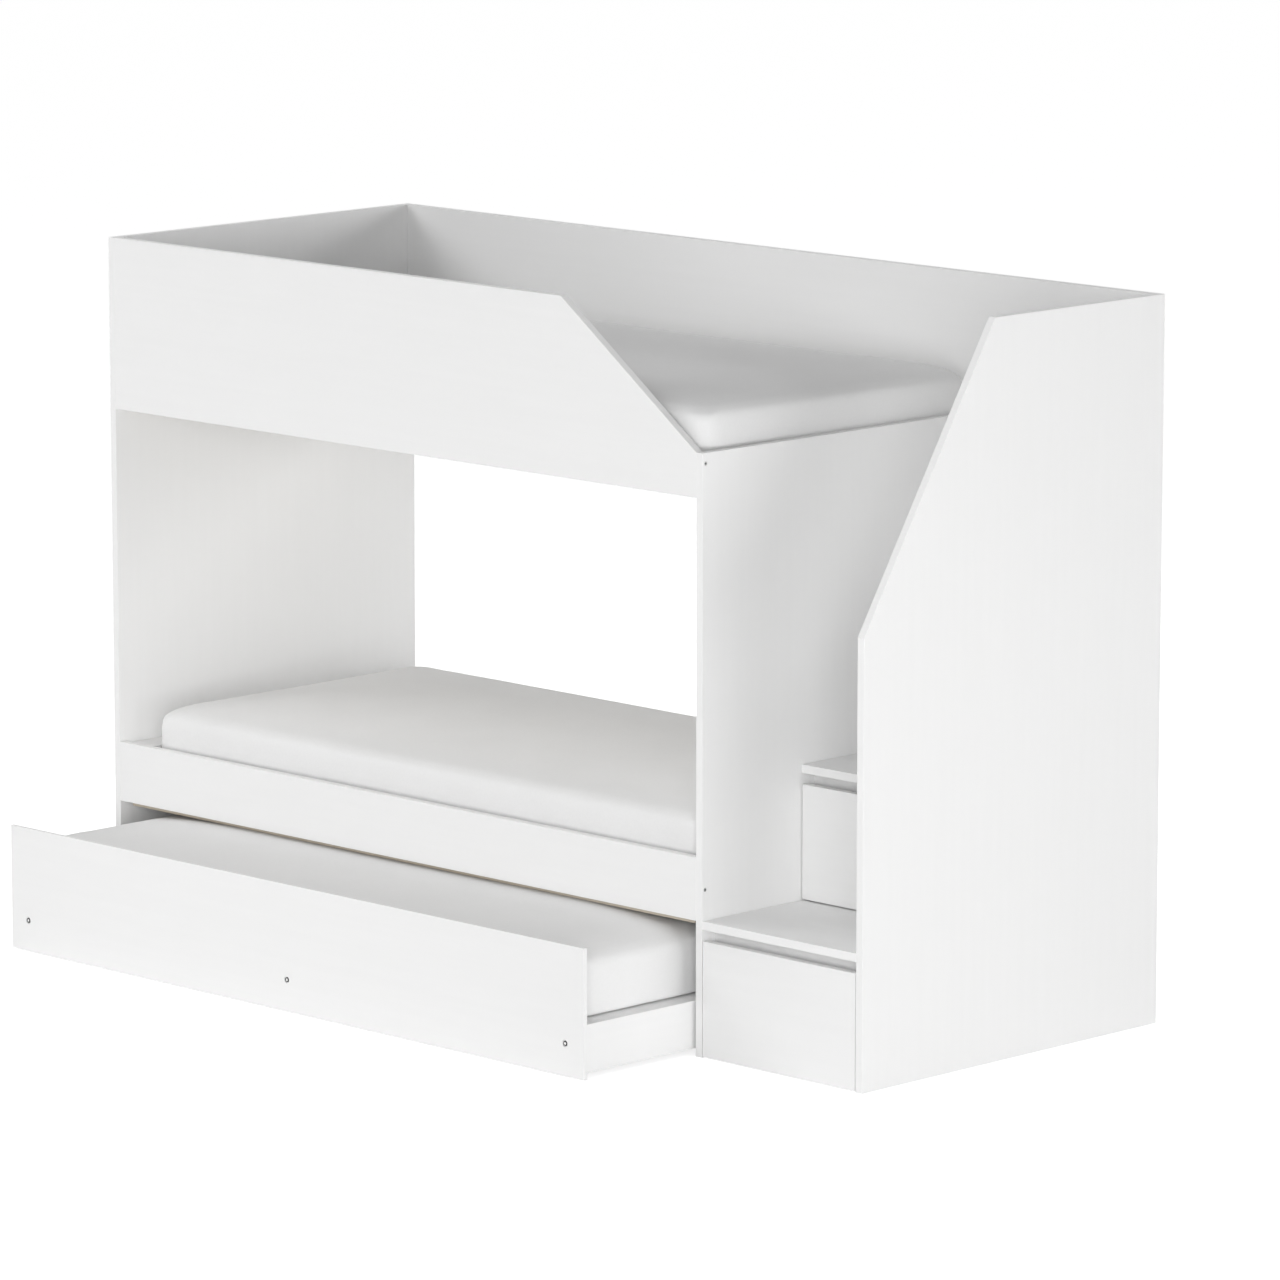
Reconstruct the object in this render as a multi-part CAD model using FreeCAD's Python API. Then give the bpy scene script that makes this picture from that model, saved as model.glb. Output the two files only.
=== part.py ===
"""Bunk bed with a stair of drawers and a pull-out trundle bed, in millimetres.

The origin is on the floor below the middle of the whole bed, with the trundle partly drawn out.
X runs along the bed towards the stair, Y runs to the wall side, and Z is up.
"""
import FreeCAD
import Part
import os
from math import cos, pi, sin

Vec = FreeCAD.Vector

# Boards
BOARD = 19.0
EASED_EDGE = 0.6
OVERRUN = 5.0

# Bed carcass
BAY_LENGTH = 1886.0
STAIR_WIDTH = 457.0
DEPTH = 950.0
HEIGHT = 1625.0
GUARD_HEIGHT = 399.0
ENTRY_RISE = 99.0
GUARD_SLOPE_RUN = 413.0
OUTER_SLOPE_START = 983.0
OUTER_SLOPE_RUN = 402.0
RAIL_HEIGHT = 140.0
NOTCH_CLEARANCE = 1.0

# Slat bases
LEDGER_THICKNESS = 25.0
LEDGER_END_GAP = 22.0
LOWER_LEDGER_HEIGHT = 78.0
LOWER_LEDGER_DROP = 11.0
UPPER_LEDGER_HEIGHT = 30.0
UPPER_LEDGER_LIFT = 1.0
SLAT_THICKNESS = 18.0
SLAT_WIDTH = 90.0
SLAT_SPACING = 146.0
SLAT_END_GAP = 2.0
HEAD_LEDGE_WIDTH = 76.0
HEAD_LEDGE_RISE = 50.0

# Mattresses
MATTRESS_THICKNESS = 165.0
MATTRESS_END_GAP = 5.0
MATTRESS_FRONT_GAP = 8.0
MATTRESS_BACK_GAP = 44.0
MATTRESS_CORNER = 48.0
MATTRESS_TOP_DROP = 40.0
MATTRESS_TOP_RUN = 110.0
MATTRESS_BOTTOM_EDGE = 15.0
MATTRESS_CROWN = 10.0
MATTRESS_DRAWN_IN = 3.0
MATTRESS_CROWN_SHARES = ((0.20, 0.55), (0.45, 0.85), (0.72, 1.0))
BOTTOM_STEPS = 2
TOP_STEPS = 5
CORNER_STEPS = 6

# Stair
STEP_COUNT = 3
STEP_RISE = 303.0
STEP_GOING = 310.0
STAIR_BACK_PANEL = 6.0
FINGER_GAP = 25.0
FINGER_DEPTH = 21.0
APRON_CLEARANCE = 37.0

# Stair drawers
DRAWER_FRONT_GAP = 2.5
DRAWER_FLOOR_GAP = 3.0
DRAWER_WALL = 12.0
DRAWER_BOX_LIFT = 22.0
DRAWER_BOX_HEIGHT = 165.0
DRAWER_REAR_GAP = 30.0
DRAWER_BOTTOM = 5.0
DRAWER_BOTTOM_LIFT = 8.0

# Drawer runners
RUNNER_SPACE = 13.0
RUNNER_STEEL = 1.2
RUNNER_LIFT = 70.0
RUNNER_SETBACK = 6.0
CHANNEL_HEIGHT = 26.0
RUNNER_PLAY = 0.3
RUNNER_TOP_PLAY = 3.3
RUNNER_LIP_PLAY = 1.8
RUNNER_TIP_PLAY = 2.8

# Trundle
TRUNDLE_PULL = 338.0
TRUNDLE_FRONT_BOARD = 10.0
TRUNDLE_SIDE_GAP = 2.0
TRUNDLE_FLOOR_GAP = 3.0
TRUNDLE_TOP_GAP = 9.0
TRUNDLE_HEADROOM = 3.0
TRUNDLE_REAR_GAP = 50.0
TRUNDLE_BOX_HEIGHT = 106.0
TRUNDLE_BOX_LIFT = 16.0
TRUNDLE_BOX_INSET = 7.0
TRUNDLE_LEDGER = 25.0

# Trundle side glides
GLIDE_LENGTH = 60.0
GLIDE_HEIGHT = 24.0
GLIDE_BACK_INSET = 16.0
GLIDE_SPACING = 240.0
GLIDE_PLAY = 0.3

# Trundle front bolts
BOLT_INSET = 58.0
BOLT_HEIGHT = 72.0
BOLT_HEAD = 12.0
BOLT_HEAD_THICKNESS = 3.0
BOLT_RECESS = 15.0
BOLT_SHANK = 6.0
BOLT_HOLE_PLAY = 0.4
BOLT_BITE = 14.0

# Trundle casters
WHEEL_DIAMETER = 50.0
WHEEL_WIDTH = 20.0
WHEEL_RUNNING_CLEARANCE = 0.05
AXLE_DIAMETER = 8.0
AXLE_HEAD = 13.0
AXLE_HEAD_THICKNESS = 2.0
FORK_STEEL = 2.0
FORK_SIDE_PLAY = 1.0
FORK_LENGTH = 44.0
FORK_FOOT = 18.0
FORK_FOOT_DROP = 8.0
CASTER_INSET = 130.0
CASTER_WALL_GAP = 6.0

# Carcass screws
SCREW_DROP = 23.0
SCREW_HEAD = 9.0
SCREW_HEAD_THICKNESS = 2.5
SCREW_SHANK = 5.0
SCREW_BITE = 40.0
SCREW_HOLE_PLAY = 0.3

# Planes along the bed
LENGTH = BAY_LENGTH + STAIR_WIDTH + 3 * BOARD
LEFT = -LENGTH / 2
BAY_START = LEFT + BOARD
BAY_END = BAY_START + BAY_LENGTH
STAIR_START = BAY_END + BOARD
STAIR_END = STAIR_START + STAIR_WIDTH
RIGHT = STAIR_END + BOARD

# Planes across the bed
FRONT = (TRUNDLE_PULL - DEPTH) / 2
BACK = FRONT + DEPTH
INNER_FRONT = FRONT + BOARD
INNER_BACK = BACK - BOARD
STAIR_BACK = BACK - STAIR_BACK_PANEL

# Heights
GUARD_BOTTOM = HEIGHT - GUARD_HEIGHT
ENTRY_HEIGHT = GUARD_BOTTOM + ENTRY_RISE
BOX_TOP = TRUNDLE_BOX_LIFT + TRUNDLE_BOX_HEIGHT
BOX_SLAT_BOTTOM = BOX_TOP - SLAT_THICKNESS
LOWER_LEDGER_BOTTOM = BOX_TOP + MATTRESS_THICKNESS + TRUNDLE_HEADROOM
RAIL_BOTTOM = LOWER_LEDGER_BOTTOM + LOWER_LEDGER_DROP
RAIL_TOP = RAIL_BOTTOM + RAIL_HEIGHT
UPPER_LEDGER_BOTTOM = GUARD_BOTTOM + UPPER_LEDGER_LIFT

# Mattress sizes
MATTRESS_START = BAY_START + HEAD_LEDGE_WIDTH + MATTRESS_END_GAP
MATTRESS_LENGTH = BAY_END - MATTRESS_END_GAP - MATTRESS_START
MATTRESS_WIDTH = INNER_BACK - INNER_FRONT - MATTRESS_FRONT_GAP - MATTRESS_BACK_GAP

# Trundle planes
TRUNDLE_LEFT = BAY_START + TRUNDLE_SIDE_GAP
TRUNDLE_RIGHT = BAY_END - TRUNDLE_SIDE_GAP
TRUNDLE_FACE = FRONT - TRUNDLE_PULL
TRUNDLE_FRONT_BACK = TRUNDLE_FACE + TRUNDLE_FRONT_BOARD
BOX_LEFT = TRUNDLE_LEFT + TRUNDLE_BOX_INSET
BOX_RIGHT = TRUNDLE_RIGHT - TRUNDLE_BOX_INSET
BOX_INNER_LEFT = BOX_LEFT + BOARD
BOX_INNER_RIGHT = BOX_RIGHT - BOARD
BOX_INNER_FRONT = TRUNDLE_FRONT_BACK + BOARD
BOX_BACK = TRUNDLE_FACE + DEPTH - TRUNDLE_REAR_GAP
BOX_INNER_BACK = BOX_BACK - BOARD


def eased(shape):
    """Take the sharp arris off every edge of a board."""
    return shape.makeChamfer(EASED_EDGE, shape.Edges)


def plain_block(low, high):
    """Box between two corners."""
    sizes = [top - bottom for bottom, top in zip(low, high)]
    return Part.makeBox(*sizes, Vec(*low))


def board(low, high):
    """Board between two corners, with eased edges."""
    return eased(plain_block(low, high))


def prism_along_x(outline, start, end):
    """Flat outline of (y, z) points pushed along X."""
    points = [Vec(start, y, z) for y, z in outline]
    face = Part.Face(Part.makePolygon(points + points[:1]))
    return face.extrude(Vec(end - start, 0, 0))


def prism_along_y(outline, start, end):
    """Flat outline of (x, z) points pushed along Y."""
    points = [Vec(x, start, z) for x, z in outline]
    face = Part.Face(Part.makePolygon(points + points[:1]))
    return face.extrude(Vec(0, end - start, 0))


def rod_along_x(diameter, start, end, y, z):
    """Round rod along X between two planes."""
    return Part.makeCylinder(diameter / 2, end - start, Vec(start, y, z), Vec(1, 0, 0))


def rod_along_y(diameter, start, end, x, z):
    """Round rod along Y between two planes."""
    return Part.makeCylinder(diameter / 2, end - start, Vec(x, start, z), Vec(0, 1, 0))


def turned(profile, centre, axis):
    """Solid turned about an axis from (distance along the axis, radius) points."""
    radial = Vec(0, 0, 1)
    points = [centre + axis * along + radial * radius for along, radius in profile]
    face = Part.Face(Part.makePolygon(points + points[:1]))
    return face.revolve(centre, axis, 360)


def mirrored_in_stair(shape):
    """Copy on the other side of the stair's middle plane."""
    return shape.mirror(Vec((STAIR_START + STAIR_END) / 2, 0, 0), Vec(1, 0, 0))


def mirrored_in_bay(shape):
    """Copy on the other side of the sleeping bay's middle plane."""
    return shape.mirror(Vec((BAY_START + BAY_END) / 2, 0, 0), Vec(1, 0, 0))


# Carcass screws, driven through the inner end panel into the ends of guard and rails

def screw_places():
    """Line across the bed and height of every carcass screw."""
    front_line = FRONT + BOARD / 2
    back_line = BACK - BOARD / 2
    rail_line = RAIL_BOTTOM + RAIL_HEIGHT / 2
    return (front_line, ENTRY_HEIGHT - SCREW_DROP), (front_line, rail_line), (back_line, rail_line)


def screw_shape(place, head, shank, bite):
    """Flat-headed screw, or the hole for it, at one place."""
    y, z = place
    profile = [
        (0, 0),
        (0, head / 2),
        (SCREW_HEAD_THICKNESS, head / 2),
        (SCREW_HEAD_THICKNESS, shank / 2),
        (BOARD + bite, shank / 2),
        (BOARD + bite, 0),
    ]
    return turned(profile, Vec(STAIR_START, y, z), Vec(-1, 0, 0))


def drilled_for_screws(shape):
    """Cut the screw holes that meet a board."""
    for place in screw_places():
        hole = screw_shape(place, SCREW_HEAD + SCREW_HOLE_PLAY, SCREW_SHANK + SCREW_HOLE_PLAY, SCREW_BITE)
        if hole.BoundBox.intersect(shape.BoundBox):
            shape = shape.cut(hole)
    return shape


def frame_screws():
    """All carcass screws as one group."""
    return [screw_shape(place, SCREW_HEAD, SCREW_SHANK, SCREW_BITE) for place in screw_places()]


# End panels, guards and rails

def left_end_panel():
    """Full-height panel at the head end."""
    return board((LEFT, FRONT, 0), (BAY_START, BACK, HEIGHT))


def inner_end_panel():
    """Panel between bed and stair, notched for the back guard."""
    panel = board((BAY_END, FRONT, 0), (STAIR_START, BACK, ENTRY_HEIGHT))
    notch = plain_block(
        (BAY_END - OVERRUN, INNER_BACK - NOTCH_CLEARANCE, GUARD_BOTTOM - NOTCH_CLEARANCE),
        (STAIR_START + OVERRUN, BACK + OVERRUN, ENTRY_HEIGHT + OVERRUN),
    )
    return drilled_for_screws(panel.cut(notch))


def outer_end_panel():
    """Full-height panel beside the stair, its front edge sloping back above the steps."""
    outline = [
        (FRONT, 0),
        (BACK, 0),
        (BACK, HEIGHT),
        (FRONT + OUTER_SLOPE_RUN, HEIGHT),
        (FRONT, OUTER_SLOPE_START),
    ]
    return eased(prism_along_x(outline, STAIR_END, RIGHT))


def front_guard():
    """Upper front guard, sloping down to the entry beside the stair."""
    outline = [
        (BAY_START, GUARD_BOTTOM),
        (BAY_END, GUARD_BOTTOM),
        (BAY_END, ENTRY_HEIGHT),
        (BAY_END - GUARD_SLOPE_RUN, HEIGHT),
        (BAY_START, HEIGHT),
    ]
    return drilled_for_screws(eased(prism_along_y(outline, FRONT, INNER_FRONT)))


def back_guard():
    """Upper back guard from the head end to the outer panel."""
    return board((BAY_START, INNER_BACK, GUARD_BOTTOM), (STAIR_END, BACK, HEIGHT))


def lower_rail(start, end):
    """Lower side rail between two planes across the bed."""
    return drilled_for_screws(board((BAY_START, start, RAIL_BOTTOM), (BAY_END, end, RAIL_TOP)))


# Slat bases

def ledger(inner_plane, inward, bottom, height):
    """Raw ledger on the inside of a rail or guard."""
    near, far = sorted((inner_plane, inner_plane + inward * LEDGER_THICKNESS))
    return plain_block(
        (BAY_START + LEDGER_END_GAP, near, bottom),
        (BAY_END - LEDGER_END_GAP, far, bottom + height),
    )


def slats(start, end, front, back, bottom):
    """Evenly spaced slats across the bed, the first and last at the ends of the run."""
    spaces = int((end - start - SLAT_WIDTH) // SLAT_SPACING)
    pitch = (end - start - SLAT_WIDTH) / spaces
    places = [start + pitch * number for number in range(spaces + 1)]
    top = bottom + SLAT_THICKNESS
    return [plain_block((x, front, bottom), (x + SLAT_WIDTH, back, top)) for x in places]


def bunk_slats(bottom):
    """Slats of a bunk, lying on its two ledgers."""
    return slats(
        BAY_START + LEDGER_END_GAP,
        BAY_END - LEDGER_END_GAP,
        INNER_FRONT + SLAT_END_GAP,
        INNER_BACK - SLAT_END_GAP,
        bottom,
    )


def head_ledge(slat_bottom):
    """White board that fills the head end beside the mattress."""
    top = slat_bottom + SLAT_THICKNESS + HEAD_LEDGE_RISE
    return board((BAY_START, INNER_FRONT, top - BOARD), (BAY_START + HEAD_LEDGE_WIDTH, INNER_BACK, top))


# Mattresses

def quarter_turn(steps):
    """Angles from nought to a right angle, in equal steps."""
    return [step / steps * pi / 2 for step in range(steps + 1)]


def mattress_levels():
    """Height and inset of each section of a mattress, from the bottom up."""
    shoulder = MATTRESS_THICKNESS - MATTRESS_CROWN
    levels = [
        (MATTRESS_BOTTOM_EDGE * (1 - cos(angle)), MATTRESS_BOTTOM_EDGE * (1 - sin(angle)))
        for angle in quarter_turn(BOTTOM_STEPS)
    ]
    levels += [
        (shoulder - MATTRESS_TOP_DROP * (1 - sin(angle)), MATTRESS_TOP_RUN * (1 - cos(angle)))
        for angle in quarter_turn(TOP_STEPS)
    ]
    run = MATTRESS_WIDTH / 2 - MATTRESS_TOP_RUN
    levels += [
        (shoulder + MATTRESS_CROWN * rise_share, MATTRESS_TOP_RUN + run * run_share)
        for run_share, rise_share in MATTRESS_CROWN_SHARES
    ]
    return levels


def mattress_section(centre, height, inset):
    """Rounded rectangle whose four sides are drawn in a little between the corners."""
    half_length = MATTRESS_LENGTH / 2 - inset
    half_width = MATTRESS_WIDTH / 2 - inset
    radius = min(MATTRESS_CORNER, half_width / 2)
    along_pull = MATTRESS_DRAWN_IN * (half_length - radius) / (MATTRESS_LENGTH / 2 - MATTRESS_CORNER)
    end_pull = MATTRESS_DRAWN_IN * (half_width - radius) / (MATTRESS_WIDTH / 2 - MATTRESS_CORNER)
    middles = (
        (half_length - end_pull, 0),
        (0, half_width - along_pull),
        (end_pull - half_length, 0),
        (0, along_pull - half_width),
    )
    corners = ((1, 1), (-1, 1), (-1, -1), (1, -1))
    points = []
    for quarter, (middle, (along, over)) in enumerate(zip(middles, corners)):
        points.append(Vec(*middle, height))
        hub = Vec(along * (half_length - radius), over * (half_width - radius), height)
        for step in range(CORNER_STEPS + 1):
            angle = (quarter + step / CORNER_STEPS) * pi / 2
            points.append(hub + Vec(cos(angle), sin(angle), 0) * radius)
    wire = Part.makePolygon(points + points[:1])
    wire.translate(centre)
    return wire


def mattress(start, front, bottom):
    """Crowned mattress with rounded edges, set down at its lower corner."""
    centre = Vec(start + MATTRESS_LENGTH / 2, front + MATTRESS_WIDTH / 2, bottom)
    wires = [mattress_section(centre, height, inset) for height, inset in mattress_levels()]
    return Part.makeLoft(wires, True, True)


# Stair

def step_front(number):
    """Front plane of a step, counted from one."""
    return FRONT + (number - 1) * STEP_GOING


def step_base(number):
    """Height that a step's drawer stands above."""
    return (number - 1) * STEP_RISE


def step_tread(number):
    """Tread of one step, the shelf above its drawer, with an apron below it behind the finger gap."""
    front = step_front(number)
    top = number * STEP_RISE
    underside = top - BOARD
    apron_front = front + BOARD + FINGER_DEPTH
    apron_bottom = drawer_box(number)[-1] + APRON_CLEARANCE
    outline = [
        (front, top),
        (front, underside),
        (apron_front, underside),
        (apron_front, apron_bottom),
        (apron_front + BOARD, apron_bottom),
        (apron_front + BOARD, underside),
        (STAIR_BACK, underside),
        (STAIR_BACK, top),
    ]
    return eased(prism_along_x(outline, STAIR_START, STAIR_END))


def stair_back_panel():
    """Thin back of the stair, up to the top tread."""
    return plain_block((STAIR_START, STAIR_BACK, 0), (STAIR_END, BACK, STEP_COUNT * STEP_RISE))


# Stair drawers

def drawer_box(number):
    """Corners of a drawer's box: left, right, front, back, bottom and top."""
    bottom = step_base(number) + DRAWER_BOX_LIFT
    return (
        STAIR_START + RUNNER_SPACE,
        STAIR_END - RUNNER_SPACE,
        step_front(number) + BOARD,
        STAIR_BACK - DRAWER_REAR_GAP,
        bottom,
        bottom + DRAWER_BOX_HEIGHT,
    )


def drawer_front(number):
    """Drawer front, set in between the panels with a finger gap above it."""
    front = step_front(number)
    low = (STAIR_START + DRAWER_FRONT_GAP, front, step_base(number) + DRAWER_FLOOR_GAP)
    top = number * STEP_RISE - BOARD - FINGER_GAP
    return board(low, (STAIR_END - DRAWER_FRONT_GAP, front + BOARD, top))


def drawer_left_side(number):
    """Left wall of a drawer's box."""
    left, _, front, back, bottom, top = drawer_box(number)
    return plain_block((left, front, bottom), (left + DRAWER_WALL, back, top))


def drawer_back(number):
    """Back wall of a drawer's box, between its sides."""
    left, right, _, back, bottom, top = drawer_box(number)
    return plain_block((left + DRAWER_WALL, back - DRAWER_WALL, bottom), (right - DRAWER_WALL, back, top))


def drawer_bottom(number):
    """Bottom sheet of a drawer, between its four walls."""
    left, right, front, back, bottom, _ = drawer_box(number)
    low = (left + DRAWER_WALL, front, bottom + DRAWER_BOTTOM_LIFT)
    high = (right - DRAWER_WALL, back - DRAWER_WALL, bottom + DRAWER_BOTTOM_LIFT + DRAWER_BOTTOM)
    return plain_block(low, high)


def runner_span(number):
    """First and last plane of a drawer's runners."""
    _, _, front, back, _, _ = drawer_box(number)
    return front + RUNNER_SETBACK, back


def runner_channel(number):
    """Folded channel on the stair's left wall."""
    low = step_base(number) + DRAWER_BOX_LIFT + RUNNER_LIFT
    high = low + CHANNEL_HEIGHT
    wall = STAIR_START
    lip = wall + RUNNER_SPACE - RUNNER_STEEL - RUNNER_LIP_PLAY
    outline = [
        (wall, low),
        (lip, low),
        (lip, low + RUNNER_STEEL),
        (wall + RUNNER_STEEL, low + RUNNER_STEEL),
        (wall + RUNNER_STEEL, high - RUNNER_STEEL),
        (lip, high - RUNNER_STEEL),
        (lip, high),
        (wall, high),
    ]
    return prism_along_y(outline, *runner_span(number))


def runner_rail(number):
    """Angle on the drawer's left side, whose flange slides in the channel."""
    side = drawer_box(number)[0]
    channel = step_base(number) + DRAWER_BOX_LIFT + RUNNER_LIFT
    low = channel + RUNNER_STEEL + RUNNER_PLAY
    high = channel + CHANNEL_HEIGHT - RUNNER_STEEL - RUNNER_TOP_PLAY
    tip = STAIR_START + RUNNER_STEEL + RUNNER_TIP_PLAY
    outline = [
        (side, low),
        (side, high),
        (side - RUNNER_STEEL, high),
        (side - RUNNER_STEEL, low + RUNNER_STEEL),
        (tip, low + RUNNER_STEEL),
        (tip, low),
    ]
    return prism_along_y(outline, *runner_span(number))


# Trundle box

def trundle_bolt_places():
    """Middle lines of the three bolts through the trundle front."""
    return TRUNDLE_LEFT + BOLT_INSET, (TRUNDLE_LEFT + TRUNDLE_RIGHT) / 2, TRUNDLE_RIGHT - BOLT_INSET


def drilled_for_bolts(shape):
    """Cut the recess and the hole for each trundle bolt."""
    height = TRUNDLE_FLOOR_GAP + BOLT_HEIGHT
    seat = TRUNDLE_FACE + BOLT_HEAD_THICKNESS
    end = TRUNDLE_FRONT_BACK + BOLT_BITE
    for x in trundle_bolt_places():
        shape = shape.cut(rod_along_y(BOLT_RECESS, TRUNDLE_FACE - OVERRUN, seat, x, height))
        shape = shape.cut(rod_along_y(BOLT_SHANK + BOLT_HOLE_PLAY, seat, end, x, height))
    return shape


def trundle_front():
    """Tall thin front of the trundle."""
    low = (TRUNDLE_LEFT, TRUNDLE_FACE, TRUNDLE_FLOOR_GAP)
    high = (TRUNDLE_RIGHT, TRUNDLE_FRONT_BACK, RAIL_BOTTOM - TRUNDLE_TOP_GAP)
    return drilled_for_bolts(board(low, high))


def trundle_front_bolts():
    """Bolts that hold the front to the box, their heads sunk in the recesses."""
    length = TRUNDLE_FRONT_BOARD + BOLT_BITE
    profile = [
        (0, 0),
        (0, BOLT_HEAD / 2),
        (BOLT_HEAD_THICKNESS, BOLT_HEAD / 2),
        (BOLT_HEAD_THICKNESS, BOLT_SHANK / 2),
        (length, BOLT_SHANK / 2),
        (length, 0),
    ]
    height = TRUNDLE_FLOOR_GAP + BOLT_HEIGHT
    return [turned(profile, Vec(x, TRUNDLE_FACE, height), Vec(0, 1, 0)) for x in trundle_bolt_places()]


def trundle_cross_board(front, back):
    """Front or back board of the trundle box, between its sides."""
    return board((BOX_INNER_LEFT, front, TRUNDLE_BOX_LIFT), (BOX_INNER_RIGHT, back, BOX_TOP))


def trundle_left_side():
    """Left side board of the trundle box."""
    return board((BOX_LEFT, TRUNDLE_FRONT_BACK, TRUNDLE_BOX_LIFT), (BOX_INNER_LEFT, BOX_BACK, BOX_TOP))


def trundle_ledger(front):
    """Ledger inside the trundle box that carries the slat ends."""
    low = (BOX_INNER_LEFT, front, BOX_SLAT_BOTTOM - TRUNDLE_LEDGER)
    return plain_block(low, (BOX_INNER_RIGHT, front + TRUNDLE_LEDGER, BOX_SLAT_BOTTOM))


def trundle_slats():
    """Slats of the trundle, level with the top of its box."""
    return slats(BOX_INNER_LEFT, BOX_INNER_RIGHT, BOX_INNER_FRONT, BOX_INNER_BACK, BOX_SLAT_BOTTOM)


def trundle_mattress():
    """Mattress of the trundle, midway between the ends of its box."""
    start = (TRUNDLE_LEFT + TRUNDLE_RIGHT - MATTRESS_LENGTH) / 2
    return mattress(start, TRUNDLE_FRONT_BACK + MATTRESS_FRONT_GAP, BOX_TOP)


def trundle_glides():
    """Pads on the box's left side that keep the trundle straight between the end panels."""
    low = TRUNDLE_BOX_LIFT + (TRUNDLE_BOX_HEIGHT - GLIDE_HEIGHT) / 2
    last = BOX_BACK - GLIDE_BACK_INSET
    ends = (last - GLIDE_SPACING, last)
    near = BAY_START + GLIDE_PLAY
    high = low + GLIDE_HEIGHT
    return [plain_block((near, end - GLIDE_LENGTH, low), (BOX_LEFT, end, high)) for end in ends]


# Trundle casters, each a fork below a slat ledger, an axle and a wheel

AXLE_HEIGHT = WHEEL_DIAMETER / 2
FORK_INNER_WIDTH = WHEEL_WIDTH + 2 * FORK_SIDE_PLAY
FORK_WIDTH = FORK_INNER_WIDTH + 2 * FORK_STEEL
CASTER_LEFT = BOX_INNER_LEFT + CASTER_INSET


def caster_lines():
    """Middle planes of the front and back casters, by name."""
    reach = WHEEL_DIAMETER / 2 + CASTER_WALL_GAP
    return {"front": BOX_INNER_FRONT + reach, "back": BOX_INNER_BACK - reach}


def caster_fork(line):
    """Folded fork at the left end of a ledger, its cheeks narrowing to the axle."""
    top = BOX_SLAT_BOTTOM - TRUNDLE_LEDGER
    foot = AXLE_HEIGHT - FORK_FOOT_DROP
    outer = CASTER_LEFT + FORK_WIDTH
    cheeks = [
        (line - FORK_LENGTH / 2, AXLE_HEIGHT + AXLE_HEIGHT / 2),
        (line - FORK_FOOT / 2, foot),
        (line + FORK_FOOT / 2, foot),
        (line + FORK_LENGTH / 2, AXLE_HEIGHT + AXLE_HEIGHT / 2),
        (line + FORK_LENGTH / 2, top),
        (line - FORK_LENGTH / 2, top),
    ]
    body = prism_along_x(cheeks, CASTER_LEFT, outer)
    slot = plain_block(
        (CASTER_LEFT + FORK_STEEL, line - FORK_LENGTH, foot - OVERRUN),
        (outer - FORK_STEEL, line + FORK_LENGTH, top - FORK_STEEL),
    )
    hole_size = AXLE_DIAMETER + 2 * WHEEL_RUNNING_CLEARANCE
    hole = rod_along_x(hole_size, CASTER_LEFT - OVERRUN, outer + OVERRUN, line, AXLE_HEIGHT)
    return body.cut(slot).cut(hole)


def caster_axle(line):
    """Headed axle pin through the fork."""
    length = FORK_WIDTH + AXLE_HEAD_THICKNESS
    profile = [
        (0, 0),
        (0, AXLE_DIAMETER / 2),
        (FORK_WIDTH, AXLE_DIAMETER / 2),
        (FORK_WIDTH, AXLE_HEAD / 2),
        (length, AXLE_HEAD / 2),
        (length, 0),
    ]
    return turned(profile, Vec(CASTER_LEFT, line, AXLE_HEIGHT), Vec(1, 0, 0))


def caster_wheel(line):
    """Bored wheel, midway between the cheeks of its fork."""
    half = WHEEL_WIDTH / 2
    bore = AXLE_DIAMETER / 2 + WHEEL_RUNNING_CLEARANCE
    tread = WHEEL_DIAMETER / 2
    profile = [(-half, bore), (-half, tread), (half, tread), (half, bore)]
    middle = CASTER_LEFT + FORK_WIDTH / 2
    return turned(profile, Vec(middle, line, AXLE_HEIGHT), Vec(1, 0, 0))


def both_ends(shapes):
    """Left-hand shapes with their mirror copies on the right."""
    return shapes + [mirrored_in_bay(shape) for shape in shapes]


# Nodes

def save(name, shape):
    """Write one node, a single solid or a list of separate solids."""
    solid = Part.makeCompound(shape) if isinstance(shape, list) else shape
    solid.exportStep(os.path.join("parts", name + ".step"))


def save_carcass():
    """End panels, guards, rails and their screws."""
    save("left_end_panel", left_end_panel())
    save("inner_end_panel", inner_end_panel())
    save("outer_end_panel", outer_end_panel())
    save("front_guard", front_guard())
    save("back_guard", back_guard())
    save("lower_front_rail", lower_rail(FRONT, INNER_FRONT))
    save("lower_back_rail", lower_rail(INNER_BACK, BACK))
    save("frame_screws", frame_screws())


def save_bunks():
    """Ledgers, slats, head ledges and mattresses of the two bunks."""
    bunks = {
        "lower": (LOWER_LEDGER_BOTTOM, LOWER_LEDGER_HEIGHT),
        "upper": (UPPER_LEDGER_BOTTOM, UPPER_LEDGER_HEIGHT),
    }
    for name, (bottom, height) in bunks.items():
        slat_bottom = bottom + height
        save(name + "_front_ledger", ledger(INNER_FRONT, 1, bottom, height))
        save(name + "_back_ledger", ledger(INNER_BACK, -1, bottom, height))
        save(name + "_slats", bunk_slats(slat_bottom))
        save(name + "_head_ledge", head_ledge(slat_bottom))
        mattress_front = INNER_FRONT + MATTRESS_FRONT_GAP
        save(name + "_mattress", mattress(MATTRESS_START, mattress_front, slat_bottom + SLAT_THICKNESS))


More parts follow.
